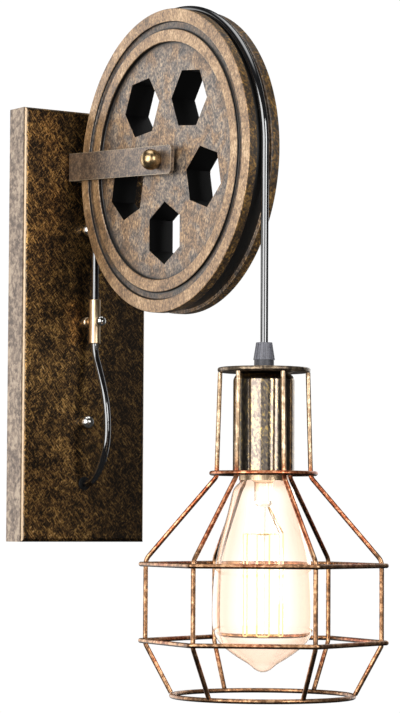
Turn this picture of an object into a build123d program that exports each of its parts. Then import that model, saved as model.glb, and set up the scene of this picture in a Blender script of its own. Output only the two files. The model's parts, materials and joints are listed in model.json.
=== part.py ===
from build123d import *
import math
import os

# Industrial wall light: a lamp in a wire cage hangs on a cord that runs over a pulley wheel.
# Millimetres. Origin on the wall at the middle of the backplate, +Z up, the front faces -Y.

# Backplate, a folded tray that is open towards the wall
plate_height = 300.0
plate_width = 100.0
plate_depth = 21.0
plate_sheet = 1.5
plate_bend_inside = 1.1

# Crossbar on the wall, and the studs that hold the backplate
crossbar_length = 170.0
crossbar_width = 24.0
crossbar_thick = 2.0
crossbar_corner = 6.0
wall_slot_spacing = 90.0
wall_slot_width = 5.0
wall_slot_length = 14.0
stud_spacing = 134.0
stud_d = 5.0
stud_tail = 5.0
stud_nut_af = 8.0
stud_nut_thick = 4.0
plate_ball_d = 9.7
plate_ball_stand_off = 3.6
earth_screw_z = -20.0
earth_screw_d = 4.0
earth_head_d = 7.5
earth_head_thick = 2.6

# Pulley wheel, a cast disc with raised rings, hexagonal windows and a rim groove
wheel_d = 202.0
wheel_width = 24.0
axle_z = 103.5
outer_ring_width = 8.7
ring_gap = 4.9
ring_gap_depth = 1.6
inner_ring_width = 8.4
web_recess = 2.6
hub_d = 17.0
rim_groove_width = 11.0
rim_groove_depth = 2.5
wheel_edge_round = 0.7
window_count = 5
window_pitch_r = 48.0
window_r = 21.0
window_first_angle = -90.0

# Axle, bush and spacers
axle_d = 6.0
bush_wall = 2.0
spacer_d = 16.0
spacer_thick = 1.2
axle_ball_d = 14.0
axle_ball_stand_off = 4.5
axle_ball_engage = 6.0

# Yoke, a strap bent into a U whose arms droop towards the front
yoke_strap = 19.0
yoke_thick = 2.5
yoke_root_z = 110.0
yoke_overhang = 17.0
yoke_bend_inside = 1.0
yoke_corner = 3.0
yoke_screw_spacing = 13.0
yoke_screw_d = 4.0
yoke_head_d = 7.4
yoke_head_thick = 2.6
yoke_nut_af = 7.0
yoke_nut_thick = 3.2
screw_tail = 2.0

# Cord and its clamp on the backplate
cord_d = 5.0
cord_stand_off = 12.2
clamp_z = 2.5
clamp_tube_wall = 1.2
clamp_tube_length = 30.6
clamp_base_d = 7.4
clamp_base_thick = 4.6
clamp_neck_d = 5.2
clamp_collar_d = 6.6
clamp_collar_thick = 1.6
clamp_shank_d = 4.0
clamp_nut_af = 7.0
clamp_nut_thick = 3.2
clamp_screw_d = 3.0
clamp_ball_d = 7.4
clamp_ball_off_tube = 3.8

# Cord entry, anchor and terminals in the backplate, up from its lower end
entry_above_end = 40.5
entry_wall = 1.2
entry_lip = 1.0
entry_flange_thick = 1.5
anchor_width = 12.0
anchor_depth = 14.0
anchor_height = 8.0
anchor_above_entry = 31.5
terminal_x = 24.0
terminal_width = 20.0
terminal_depth = 13.0
terminal_height = 30.0
terminal_above_entry = 39.5
terminal_screw_d = 3.6
terminal_screw_depth = 4.0
terminal_screw_pitch_x = 9.0
terminal_screw_pitch_z = 16.0
tail_off_plate = 9.5
tail_turn_above_entry = 12.5

# Lamp: the cord drops this far below the axle to the top of the cord grip
hang_drop = 125.5
swing_side_drop = 30.0
swing_fore_drop = 42.0
grip_nut_height = 11.0
grip_top_wall = 0.25
grip_bottom_wall = 2.0
grip_fin_count = 16
grip_fin_width = 0.9
grip_fin_height = 0.4
grip_crown = 2.5
grip_spigot = 4.0
grip_spigot_wall = 1.5
grip_collar_d = 12.6
grip_collar_height = 5.0
nipple_d = 10.0
nipple_tail = 1.5
nipple_bore_clear = 0.5
nipple_nut_af = 14.0
nipple_nut_thick = 3.5

# Wire cage
wire_d = 3.0
rib_count = 6
rib_first_angle = -40.2
disc_d = 58.8
disc_thick = 3.0
disc_edge_round = 1.2
rib_neck_r = 29.8
neck_drop = 66.8
neck_bend = 6.0
neck_bend_drop = 2.2
rib_waist_r = 74.6
upper_belt_drop = 124.4
lower_belt_drop = 172.6
waist_bend = 8.0
waist_bend_drop = 2.9
hem_bend = 6.0
hem_bend_drop = 1.8
bottom_ring_r = 57.3
bottom_ring_drop = 206.5

# Socket cup and lampholder
cup_clear = 2.0
cup_height = 63.0
cup_wall = 1.0
cup_shoulder = 6.0
holder_cap_height = 20.5
holder_cap_wall = 2.0
holder_cap_top = 3.0
holder_insert_thick = 13.0
holder_skirt_wall = 2.15
skirt_below_screw = 1.6
shell_wall = 0.5
shell_clear = 0.45
shell_rim_inset = 1.0
shell_rim_height = 6.2
contact_rivet_d = 5.0
contact_tongue_d = 10.0
contact_tongue_thick = 0.8
terminal_head_d = 4.4
terminal_head_thick = 2.5
terminal_shank_d = 2.4
terminal_shank_length = 6.0
terminal_pitch = 18.0
core_d = 2.0
core_pitch = 2.4
tail_below_nipple = 3.0

# Bulb
screw_crest_d = 26.2
screw_depth = 0.7
screw_pitch = 3.6
screw_rings = 4
cap_lead = 2.0
cap_skirt = 4.6
cap_wall = 0.4
cap_crown_lip = 1.0
bulb_contact_d = 9.6
bulb_contact_thick = 1.4
bulb_contact_round = 0.8
insulator_height = 3.5
insulator_top_lip = 0.8
insulator_inset = 0.6
glass_wall = 1.0
# The glass below the cap, as (radius, distance below the cap's mouth)
bulb_outline = [
    (12.6, 2.2), (15.2, 4.8), (18.2, 7.6), (20.2, 13.0), (21.7, 20.0), (23.7, 28.0), (27.6, 43.0),
    (30.4, 57.0), (31.8, 74.0), (32.2, 89.0), (31.3, 97.5), (27.6, 105.0), (22.0, 110.2), (12.2, 116.8),
    (8.4, 119.2), (5.6, 121.6), (0.0, 123.8)]
stem_flare_height = 5.0
stem_tube_d = 12.0
stem_tube_drop = 18.0
stem_pinch_d = 8.4
stem_pinch_height = 1.5
stem_rod_root = 0.5
stem_rod_d = 2.6
filament_count = 10
filament_r = 12.5
filament_wire_d = 0.8
filament_top_drop = 37.0
filament_length = 64.0
filament_bend = 1.4
support_wire_d = 0.6
lead_wire_d = 0.8
lead_pitch = 7.2

# Clearances
hole_clear = 0.2
thread_clear = 0.02
press_clear = 0.01
run_clear = 0.05
gap = 0.3
weld_gap = 0.03
groove_rest = 0.3

# Share of the shorter run that a bend of the cord takes up
bend_share = 0.45

# Places and sizes worked out from the values above
plate_front = -plate_depth
plate_inside = plate_front + plate_sheet
cord_r = cord_d / 2
wheel_r = wheel_d / 2
half_width = wheel_width / 2
groove_r = wheel_r - rim_groove_depth
cord_wheel_r = groove_r + groove_rest + cord_r
rear_y = plate_front - cord_stand_off
axle_y = rear_y - cord_wheel_r
lamp_y = axle_y - cord_wheel_r
yoke_inside = half_width + gap + spacer_thick
yoke_outside = yoke_inside + yoke_thick
clamp_tube_d = cord_d + 2 * gap + 2 * clamp_tube_wall
clamp_bottom_z = clamp_z - clamp_tube_length / 2
entry_body_d = cord_d + 2 * entry_wall
entry_z = entry_above_end - plate_height / 2
anchor_z = entry_z + anchor_above_entry
terminal_bottom_z = entry_z + terminal_above_entry
tail_turn_z = entry_z + tail_turn_above_entry
tail_y = plate_inside + tail_off_plate

# Heights and diameters of the cord grip and the lampholder
side_pivot_z = axle_z - swing_side_drop
fore_pivot_z = axle_z - swing_fore_drop
grip_top_z = axle_z - hang_drop
nipple_bore_d = cord_d + 2 * nipple_bore_clear
grip_thread_d = nipple_bore_d + 2 * grip_spigot_wall
collar_top_z = grip_top_z - grip_nut_height
disc_top_z = collar_top_z - grip_collar_height
disc_bottom_z = disc_top_z - disc_thick
cup_bottom_z = disc_bottom_z - cup_height
holder_top_z = disc_bottom_z - cup_wall - nipple_nut_thick
nipple_bottom_z = holder_top_z - holder_cap_top - nipple_tail
insert_top_z = holder_top_z - holder_cap_height
insert_bottom_z = insert_top_z - holder_insert_thick

# Heights of the bulb in the lampholder, and the diameters that fit round its screw
bulb_top_z = insert_bottom_z - contact_tongue_thick - gap
insulator_top_z = bulb_top_z - bulb_contact_thick
cap_top_z = insulator_top_z - insulator_height
screw_top_z = cap_top_z - cap_lead
screw_bottom_z = screw_top_z - screw_rings * screw_pitch
cap_mouth_z = screw_bottom_z - cap_skirt
holder_bottom_z = screw_bottom_z - skirt_below_screw
shell_bottom_z = holder_bottom_z - shell_rim_height
screw_root_d = screw_crest_d - 2 * screw_depth
crown_r = screw_root_d / 2 - cap_wall
holder_bore_d = screw_crest_d + 2 * (gap + shell_wall + shell_clear)
holder_d = holder_bore_d + 2 * holder_skirt_wall
cup_d = holder_d + 2 * (cup_clear + cup_wall)
stem_tube_end_z = cap_mouth_z - stem_tube_drop
stem_pinch_z = stem_tube_end_z - stem_pinch_height
filament_top_z = cap_mouth_z - filament_top_drop
filament_bottom_z = filament_top_z - filament_length

# A turned piece stands on its own Z = 0, or hangs below it
standing = (Align.CENTER, Align.CENTER, Align.MIN)
hanging = (Align.CENTER, Align.CENTER, Align.MAX)


def cylinder_between(start, end, radius):
    """A round bar from one point to another."""
    start_point = Vector(*start)
    reach = Vector(*end) - start_point
    seat = Plane(origin=start_point, z_dir=reach)
    return extrude(seat * Circle(radius), amount=reach.length)


def turned(points):
    """A solid turned about Z from a closed outline of (radius, height) points."""
    outline = Plane.XZ * make_face(Polyline(*points, close=True))
    return revolve(outline, axis=Axis.Z)


def hexagon(width_across_flats, thickness):
    """A hexagonal nut blank that stands on Z = 0."""
    corner_r = width_across_flats / 2 / math.cos(math.radians(30))
    return extrude(RegularPolygon(corner_r, 6), amount=thickness)


def facing_front(solid, place):
    """Turns a piece that was made along +Z so that it points to the front, and sets it at a place."""
    return Pos(*place) * Rot(90, 0, 0) * solid


def facing_wall(solid, place):
    """Turns a piece that was made along +Z so that it points to the wall, and sets it at a place."""
    return Pos(*place) * Rot(-90, 0, 0) * solid


def drill(place, diameter, length):
    """A cutter along Y with its middle at a place."""
    return Pos(*place) * Rot(90, 0, 0) * Cylinder(diameter / 2, length)


def ball_nut(ball_d, stand_off, bore_d, bore_depth):
    """A ball with a flat seat on Z = 0 and a blind threaded bore."""
    ball = Pos(0, 0, stand_off) * Sphere(ball_d / 2)
    above_seat = Pos(0, 0, ball_d) * Box(ball_d * 2, ball_d * 2, ball_d * 2)
    bore = Pos(0, 0, bore_depth / 2) * Cylinder(bore_d / 2 + thread_clear, bore_depth)
    return (ball & above_seat) - bore


def nut(width_across_flats, thickness, bore_d):
    """A hexagon nut that stands on Z = 0."""
    bore = Cylinder(bore_d / 2 + thread_clear, thickness * 3)
    return hexagon(width_across_flats, thickness) - bore


def corner_radii(points):
    """For each corner of a cord's route, a share of its shorter run over the tangent of half the turn."""
    radii = []
    for before, corner, after in zip(points, points[1:], points[2:]):
        run_in = Vector(*corner) - Vector(*before)
        run_out = Vector(*after) - Vector(*corner)
        half_turn = math.radians(run_in.get_angle(run_out)) / 2
        radii.append(bend_share * min(run_in.length, run_out.length) / math.tan(half_turn))
    return radii


def cord_tube(name, points):
    """A cord along straight runs joined by arcs as large as the runs allow."""
    radii = corner_radii(points)
    path = FilletPolyline(*points, radius=radii)
    tube = sweep(Plane(origin=path @ 0, z_dir=path % 0) * Circle(cord_r), path=path)
    print(name, "radii", [round(radius, 1) for radius in radii], "length", round(path.length, 1),
          "volume ratio", round(tube.volume / (path.length * math.pi * cord_r ** 2), 4))
    return tube


def in_lamp(solid):
    """Moves a piece that was made about Z onto the lamp's axis."""
    return Pos(0, lamp_y, 0) * solid


def make_backplate():
    """The folded tray, with holes for the studs, the yoke, the clamp post and the cord."""
    tray = Pos(0, -plate_depth / 2, 0) * Box(plate_width, plate_depth, plate_height)
    tray = fillet(tray.faces().sort_by(Axis.Y)[0].edges(), plate_bend_inside + plate_sheet)
    hollow_depth = plate_depth - plate_sheet
    hollow = Box(plate_width - 2 * plate_sheet, hollow_depth, plate_height - 2 * plate_sheet)
    hollow = Pos(0, -hollow_depth / 2, 0) * hollow
    hollow = fillet(hollow.faces().sort_by(Axis.Y)[0].edges(), plate_bend_inside)
    tray -= hollow
    reach = plate_depth * 2
    for side in (-1, 1):
        stud_place = (0, plate_front, side * stud_spacing / 2)
        yoke_place = (side * yoke_screw_spacing / 2, plate_front, yoke_root_z)
        tray -= drill(stud_place, stud_d + 2 * hole_clear, reach)
        tray -= drill(yoke_place, yoke_screw_d + 2 * hole_clear, reach)
    tray -= drill((0, plate_front, clamp_z), clamp_shank_d + 2 * hole_clear, reach)
    tray -= drill((0, plate_front, entry_z), entry_body_d + 2 * press_clear, reach)
    return tray


def make_crossbar():
    """The strap that is screwed to the wall through two slots."""
    bar = Pos(0, -crossbar_thick / 2, 0) * Box(crossbar_width, crossbar_thick, crossbar_length)
    bar = fillet(bar.edges().filter_by(Axis.Y), crossbar_corner)
    slot = Plane.XZ * SlotOverall(wall_slot_length, wall_slot_width, rotation=90)
    slot_cut = extrude(slot, amount=crossbar_thick * 2, both=True)
    reach = crossbar_thick * 3
    for side in (-1, 1):
        bar -= Pos(0, 0, side * wall_slot_spacing / 2) * slot_cut
        bar -= drill((0, 0, side * stud_spacing / 2), stud_d + 2 * thread_clear, reach)
    return bar - drill((0, 0, earth_screw_z), earth_screw_d + 2 * thread_clear, reach)


def make_studs():
    """The two studs from the crossbar through the backplate into the ball nuts."""
    rear = -gap
    front = plate_front - stud_tail
    studs = []
    for side in (-1, 1):
        z = side * stud_spacing / 2
        studs.append(cylinder_between((0, rear, z), (0, front, z), stud_d / 2))
    return studs


def make_stud_locknuts():
    """The nuts that lock the studs to the crossbar."""
    blank = nut(stud_nut_af, stud_nut_thick, stud_d)
    return [facing_front(blank, (0, -crossbar_thick, side * stud_spacing / 2)) for side in (-1, 1)]


def make_plate_ball_nuts():
    """The bright ball nuts on the backplate's face."""
    ball = ball_nut(plate_ball_d, plate_ball_stand_off, stud_d, stud_tail + gap)
    return [facing_front(ball, (0, plate_front, side * stud_spacing / 2)) for side in (-1, 1)]


def make_earth_screw():
    """The earth screw on the crossbar."""
    head = Cylinder(earth_head_d / 2, earth_head_thick, align=standing)
    shank = Pos(0, 0, -crossbar_thick + gap) * Cylinder(
        earth_screw_d / 2, crossbar_thick, align=standing)
    return facing_front(head + shank, (0, -crossbar_thick, earth_screw_z))


def make_yoke():
    """The strap bent into a U: its plan with round bends, cut to a side view that droops to the axle."""
    axle_off_plate = plate_front - axle_y
    droop = math.atan2(yoke_root_z - axle_z, axle_off_plate)
    half_strap = yoke_strap / 2
    root_half = half_strap / math.cos(droop)
    end_y = axle_y - yoke_overhang * math.cos(droop)
    end_z = axle_z - yoke_overhang * math.sin(droop)
    lift_y = half_strap * math.sin(droop)
    lift_z = half_strap * math.cos(droop)
    side_view = make_face(Polyline(
        (plate_front, yoke_root_z + root_half),
        (end_y - lift_y, end_z + lift_z),
        (end_y + lift_y, end_z - lift_z),
        (plate_front, yoke_root_z - root_half), close=True))
    side_view = fillet(side_view.vertices().sort_by(Axis.X)[:2], yoke_corner)
    arm_length = axle_off_plate + 2 * yoke_overhang
    middle_y = plate_front - arm_length / 2
    outer_plan = Pos(0, middle_y) * Rectangle(2 * yoke_outside, arm_length)
    outer_plan = fillet(outer_plan.vertices().sort_by(Axis.Y)[-2:], yoke_bend_inside + yoke_thick)
    inner_plan = Pos(0, middle_y - yoke_thick) * Rectangle(2 * yoke_inside, arm_length)
    inner_plan = fillet(inner_plan.vertices().sort_by(Axis.Y)[-2:], yoke_bend_inside)
    plan = Pos(0, 0, axle_z) * (outer_plan - inner_plan)
    strap = extrude(plan, amount=2 * yoke_strap, both=True)
    strap &= extrude(Plane.YZ * side_view, amount=2 * yoke_outside, both=True)
    strap -= Pos(0, axle_y, axle_z) * Rot(0, 90, 0) * Cylinder(axle_d / 2 + run_clear, 4 * yoke_outside)
    for side in (-1, 1):
        screw_place = (side * yoke_screw_spacing / 2, plate_front, yoke_root_z)
        strap -= drill(screw_place, yoke_screw_d + 2 * hole_clear, 4 * yoke_thick)
    return strap


def make_yoke_screws():
    """Pan-head screws through the yoke's base and the backplate."""
    shank_length = yoke_thick + plate_sheet + yoke_nut_thick + screw_tail
    shank = Cylinder(yoke_screw_d / 2, shank_length, align=standing)
    head = Pos(0, 0, -yoke_head_thick) * Cylinder(
        yoke_head_d / 2, yoke_head_thick, align=standing)
    head = fillet(head.edges().sort_by(Axis.Z)[0], yoke_head_thick / 2)
    screw = head + shank
    seat_y = plate_front - yoke_thick
    return [facing_wall(screw, (side * yoke_screw_spacing / 2, seat_y, yoke_root_z)) for side in (-1, 1)]


def make_yoke_nuts():
    """The nuts of the yoke screws, inside the backplate."""
    blank = nut(yoke_nut_af, yoke_nut_thick, yoke_screw_d)
    return [facing_wall(blank, (side * yoke_screw_spacing / 2, plate_inside, yoke_root_z))
            for side in (-1, 1)]


def make_wheel():
    """The pulley wheel: raised rings, a recessed web, a hub, hexagonal windows and a rim groove."""
    bore_r = axle_d / 2 + run_clear + bush_wall + press_clear
    outer_ring_r = wheel_r - outer_ring_width
    inner_ring_top_r = outer_ring_r - ring_gap
    inner_ring_r = inner_ring_top_r - inner_ring_width
    web_half = half_width - web_recess
    right_half = [
        (half_width, bore_r), (half_width, hub_d / 2),
        (web_half, hub_d / 2), (web_half, inner_ring_r),
        (half_width, inner_ring_r), (half_width, inner_ring_top_r),
        (half_width - ring_gap_depth, inner_ring_top_r), (half_width - ring_gap_depth, outer_ring_r),
        (half_width, outer_ring_r), (half_width, wheel_r),
        (rim_groove_width / 2, wheel_r), (rim_groove_width / 2, groove_r)]
    left_half = [(-across, radius) for across, radius in reversed(right_half)]
    outline = make_face(Polyline(*right_half, *left_half, close=True))
    lowest_step = min(ring_gap_depth, web_recess, rim_groove_depth)
    outline = fillet(outline.vertices(), min(wheel_edge_round, 0.45 * lowest_step))
    wheel = revolve(outline, axis=Axis.X)
    window = extrude(Plane.YZ * RegularPolygon(window_r, 6), amount=wheel_width, both=True)
    for index in range(window_count):
        angle = window_first_angle + index * 360 / window_count
        wheel -= Rot(angle, 0, 0) * Pos(0, window_pitch_r, 0) * window
    return Pos(0, axle_y, axle_z) * wheel


def make_wheel_bush():
    """The sleeve bush that is pressed into the wheel and runs on the axle."""
    inner_r = axle_d / 2 + run_clear
    sleeve = Cylinder(inner_r + bush_wall, wheel_width) - Cylinder(inner_r, wheel_width * 2)
    return Pos(0, axle_y, axle_z) * Rot(0, 90, 0) * sleeve


def make_axle():
    """The rod through the yoke and the wheel."""
    half_length = yoke_outside + axle_ball_engage
    return cylinder_between((-half_length, axle_y, axle_z), (half_length, axle_y, axle_z), axle_d / 2)


def make_axle_ball_nuts():
    """The brass ball nuts on both ends of the axle."""
    ball = ball_nut(axle_ball_d, axle_ball_stand_off, axle_d, axle_ball_engage + gap)
    right = Pos(yoke_outside, axle_y, axle_z) * Rot(0, 90, 0) * ball
    left = Pos(-yoke_outside, axle_y, axle_z) * Rot(0, -90, 0) * ball
    return [left, right]


def make_axle_spacers():
    """The washers between the wheel and the yoke's arms."""
    washer = Cylinder(spacer_d / 2, spacer_thick) - Cylinder(axle_d / 2 + run_clear, spacer_thick * 3)
    middle = yoke_inside - spacer_thick / 2
    return [Pos(side * middle, axle_y, axle_z) * Rot(0, 90, 0) * washer for side in (-1, 1)]


def make_clamp_post():
    """The turned post that carries the clamp tube: base, neck and collar, with a threaded shank."""
    length = plate_front - rear_y
    base = Cylinder(clamp_base_d / 2, clamp_base_thick, align=standing)
    base = fillet(base.edges().sort_by(Axis.Z)[-1], clamp_base_thick / 3)
    neck = Cylinder(clamp_neck_d / 2, length, align=standing)
    collar_z = (clamp_base_thick + length - clamp_tube_d / 2) / 2
    collar = Pos(0, 0, collar_z) * Cylinder(clamp_collar_d / 2, clamp_collar_thick)
    shank_length = plate_sheet + clamp_nut_thick + screw_tail
    shank = Cylinder(clamp_shank_d / 2, shank_length, align=hanging)
    post = facing_front(base + neck + collar + shank, (0, plate_front, clamp_z))
    saddle = Pos(0, rear_y, clamp_z) * Cylinder(clamp_tube_d / 2 + weld_gap, clamp_tube_length)
    front_half = Pos(0, rear_y - clamp_tube_d / 2, clamp_z) * Box(
        clamp_base_d * 2, clamp_tube_d, clamp_tube_length)
    return post - saddle - front_half


def make_clamp_post_nut():
    """The nut of the clamp post, inside the backplate."""
    return facing_wall(nut(clamp_nut_af, clamp_nut_thick, clamp_shank_d), (0, plate_inside, clamp_z))


def make_clamp_tube():
    """The tube that the cord runs through, tapped at the front for the clamp screw."""
    tube = Cylinder(clamp_tube_d / 2, clamp_tube_length)
    tube = fillet(tube.edges().filter_by(GeomType.CIRCLE), clamp_tube_wall / 3)
    tube -= Cylinder(cord_r + gap, clamp_tube_length * 2)
    tap = Rot(90, 0, 0) * Cylinder(
        clamp_screw_d / 2 + run_clear, clamp_tube_d, align=standing)
    return Pos(0, rear_y, clamp_z) * (tube - tap)


def make_clamp_screw():
    """The ball-headed screw that pinches the cord in the tube."""
    ball_z = clamp_tube_d / 2 + clamp_ball_off_tube
    ball = Pos(0, 0, ball_z) * Sphere(clamp_ball_d / 2)
    tip_z = cord_r + gap
    shank = Pos(0, 0, tip_z) * Cylinder(clamp_screw_d / 2, ball_z - tip_z, align=standing)
    clear_tube = Cylinder(clamp_tube_d, clamp_tube_d / 2 + gap, align=standing)
    return facing_front((ball - clear_tube) + shank, (0, rear_y, clamp_z))


def make_entry_bush():
    """The bush in the backplate that the cord enters by."""
    flange = Cylinder(entry_body_d / 2 + entry_lip, entry_flange_thick, align=standing)
    flange = fillet(flange.edges().sort_by(Axis.Z)[-1], entry_flange_thick / 2)
    body = Cylinder(entry_body_d / 2, plate_sheet * 2, align=hanging)
    bush = flange + body - Cylinder(cord_r + weld_gap, plate_depth)
    return facing_front(bush, (0, plate_front, entry_z))


def make_cord_anchor():
    """The strain-relief block that holds the cord inside the backplate."""
    block = Box(anchor_width, anchor_depth, anchor_height, align=(Align.CENTER, Align.MIN, Align.CENTER))
    block = fillet(block.edges().filter_by(Axis.Z), anchor_width / 8)
    block = Pos(terminal_x, plate_inside, anchor_z) * block
    bore = Pos(terminal_x, tail_y, anchor_z) * Cylinder(cord_r + weld_gap, anchor_height * 2)
    return block - bore


def terminal_screw_places():
    """The middle of each terminal screw's seat on the block's rear face."""
    middle_z = terminal_bottom_z + terminal_height / 2
    rear = plate_inside + terminal_depth
    half_x = terminal_screw_pitch_x / 2
    half_z = terminal_screw_pitch_z / 2
    return [(terminal_x + across * half_x, rear, middle_z + up * half_z)
            for across in (-1, 1) for up in (-1, 1)]


def make_terminal_block():
    """The terminal block on the inside of the backplate."""
    block = Pos(terminal_x, plate_inside, terminal_bottom_z) * Box(
        terminal_width, terminal_depth, terminal_height, align=(Align.CENTER, Align.MIN, Align.MIN))
    well = Cylinder(terminal_screw_d / 2 + hole_clear, terminal_screw_depth * 2)
    for place in terminal_screw_places():
        block -= Pos(*place) * Rot(90, 0, 0) * well
    return block


def make_terminal_screws():
    """The clamping screws in the terminal block, seated on the bottoms of their wells."""
    screw = Cylinder(terminal_screw_d / 2, terminal_screw_depth - gap,
                     align=hanging)
    return [Pos(0, -gap, 0) * facing_wall(screw, place) for place in terminal_screw_places()]


def slack_route():
    """The slack cord from the clamp tube down to the entry bush, as distances off the backplate."""
    clamp_off = plate_front - rear_y
    rows = [
        (clamp_off, clamp_bottom_z), (clamp_off, -18.8), (18.4, -31.2), (26.0, -48.5),
        (29.7, -65.5), (29.2, -82.0), (23.4, -95.4), (15.6, -104.4),
        (8.2, entry_z), (entry_flange_thick, entry_z)]
    return [(0, plate_front - off, z) for off, z in rows]


def make_cord_tail():
    """The cord inside the backplate, from the entry bush to the terminal block."""
    return cord_tube("cord_tail", [
        (0, plate_front - entry_flange_thick, entry_z), (0, tail_y, entry_z),
        (terminal_x, tail_y, tail_turn_z), (terminal_x, tail_y, terminal_bottom_z)])


def make_cord_rise():
    """The taut cord from the clamp tube up to the wheel."""
    return cylinder_between((0, rear_y, clamp_bottom_z), (0, rear_y, axle_z), cord_r)


def make_cord_over_wheel():
    """The cord half round the wheel, with a short straight end towards the lamp."""
    rear = (0, rear_y, axle_z)
    top = (0, axle_y, axle_z + cord_wheel_r)
    front = (0, lamp_y, axle_z)
    end = (0, lamp_y, side_pivot_z + cord_r + gap)
    path = Wire([ThreePointArc(rear, top, front).edge(), Line(front, end).edge()])
    return sweep(Plane(origin=rear, z_dir=(0, 0, 1)) * Circle(cord_r), path=path)


def domed_cord(top_z, bottom_z):
    """A straight cord whose domed top turns about its own centre."""
    bar = cylinder_between((0, lamp_y, top_z), (0, lamp_y, bottom_z), cord_r)
    return bar + Pos(0, lamp_y, top_z) * Sphere(cord_r)


def make_grip_nut():
    """The tapered, finned nut of the cord grip."""
    top_r = grip_thread_d / 2 + grip_top_wall
    bottom_r = grip_thread_d / 2 + grip_bottom_wall
    cone = turned([(0, collar_top_z), (bottom_r, collar_top_z), (top_r, grip_top_z), (0, grip_top_z)])
    fin_limit = turned([
        (0, collar_top_z), (bottom_r + grip_fin_height, collar_top_z),
        (top_r + grip_fin_height, grip_top_z), (0, grip_top_z)])
    middle_z = (collar_top_z + grip_top_z) / 2
    blade = Pos(0, 0, middle_z) * Box(bottom_r * 4, grip_fin_width, grip_nut_height)
    fin_step = 360 / grip_fin_count
    blades = Part() + [Rot(0, 0, index * fin_step) * blade for index in range(grip_fin_count // 2)]
    blank = cone + (blades & fin_limit)
    cavity = turned([
        (0, collar_top_z - gap), (grip_thread_d / 2 + run_clear, collar_top_z - gap),
        (grip_thread_d / 2 + run_clear, grip_top_z - grip_crown), (cord_r + gap, grip_top_z - grip_crown),
        (cord_r + gap, grip_top_z + gap), (0, grip_top_z + gap)])
    return in_lamp(blank - cavity)


def make_grip_collet():
    """The rubber ring that the grip nut squeezes onto the cord."""
    low = collar_top_z + grip_spigot
    high = grip_top_z - grip_crown
    inner_r = cord_r + weld_gap
    outer_r = grip_thread_d / 2 - run_clear
    return in_lamp(turned([(inner_r, low), (outer_r, low), (outer_r, high), (inner_r, high)]))


def make_grip_body():
    """The grip's collar with its threaded spigot above and threaded nipple below."""
    bore_r = nipple_bore_d / 2
    high = collar_top_z + grip_spigot
    return in_lamp(turned([
        (bore_r, high), (grip_thread_d / 2, high), (grip_thread_d / 2, collar_top_z),
        (grip_collar_d / 2, collar_top_z), (grip_collar_d / 2, disc_top_z),
        (nipple_d / 2, disc_top_z), (nipple_d / 2, nipple_bottom_z), (bore_r, nipple_bottom_z)]))


def make_nipple_nut():
    """The nut that clamps the cup and the disc to the grip."""
    return in_lamp(Pos(0, 0, holder_top_z) * nut(nipple_nut_af, nipple_nut_thick, nipple_d))


def make_top_disc():
    """The cage's round top plate."""
    disc = Pos(0, 0, (disc_top_z + disc_bottom_z) / 2) * Cylinder(disc_d / 2, disc_thick)
    disc = fillet(disc.edges().filter_by(GeomType.CIRCLE), disc_edge_round)
    return in_lamp(disc - Pos(0, 0, disc_top_z) * Cylinder(nipple_d / 2 + hole_clear, disc_thick * 4))


def make_rib(angle):
    """One cage wire: straight past the cup, out to the waist, down between the belts and in to the ring."""
    wire_r = wire_d / 2
    hem = Vector(rib_waist_r, 0, disc_top_z - lower_belt_drop - hem_bend_drop)
    ring_middle = Vector(bottom_ring_r, 0, disc_top_z - bottom_ring_drop)
    foot = ring_middle + (hem - ring_middle).normalized() * (wire_r + weld_gap)
    path = FilletPolyline(
        (disc_d / 2 - wire_r, 0, disc_bottom_z - 2 * weld_gap),
        (rib_neck_r, 0, disc_top_z - neck_drop - neck_bend_drop),
        (rib_waist_r, 0, disc_top_z - upper_belt_drop + waist_bend_drop),
        hem, foot, radius=[neck_bend, waist_bend, hem_bend])
    wire = sweep(Plane(origin=path @ 0, z_dir=path % 0) * Circle(wire_r), path=path)
    return in_lamp(Rot(0, 0, angle) * wire)


def make_round_ring(ring_r, drop):
    """A round ring of cage wire."""
    return in_lamp(Pos(0, 0, disc_top_z - drop) * Torus(ring_r, wire_d / 2))


def make_belt(drop):
    """A many-sided belt of cage wire that bends round the outside of each rib."""
    rib_middles = Rot(0, 0, rib_first_angle) * RegularPolygon(rib_waist_r, rib_count)
    path = offset(rib_middles, amount=wire_d + weld_gap, kind=Kind.ARC).wire()
    wire = sweep(Plane(origin=path @ 0, z_dir=path % 0) * Circle(wire_d / 2), path=path)
    return in_lamp(Pos(0, 0, disc_top_z - drop) * wire)


def make_socket_cup():
    """The deep-drawn cup over the lampholder."""
    cup_r = cup_d / 2
    cup = Pos(0, 0, (disc_bottom_z + cup_bottom_z) / 2) * Cylinder(cup_r, cup_height)
    top_edge = cup.edges().filter_by(GeomType.CIRCLE).sort_by(Axis.Z)[-1]
    cup = fillet(top_edge, cup_shoulder)
    hollow_top = disc_bottom_z - cup_wall
    hollow = Pos(0, 0, hollow_top - cup_height / 2) * Cylinder(cup_r - cup_wall, cup_height)
    hollow_edge = hollow.edges().filter_by(GeomType.CIRCLE).sort_by(Axis.Z)[-1]
    hollow = fillet(hollow_edge, cup_shoulder - cup_wall)
    bore = Pos(0, 0, disc_bottom_z) * Cylinder(nipple_d / 2 + hole_clear, cup_wall * 4)
    return in_lamp(cup - hollow - bore)


def make_holder_cap():
    """The lampholder's upper half, screwed onto the nipple."""
    outer_r = holder_d / 2
    bore_r = nipple_d / 2 + thread_clear
    roof_z = holder_top_z - holder_cap_top
    return in_lamp(turned([
        (bore_r, holder_top_z), (outer_r - holder_cap_top, holder_top_z), (outer_r, roof_z),
        (outer_r, insert_top_z), (outer_r - holder_cap_wall, insert_top_z),
        (outer_r - holder_cap_wall, roof_z), (bore_r, roof_z)]))


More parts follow.
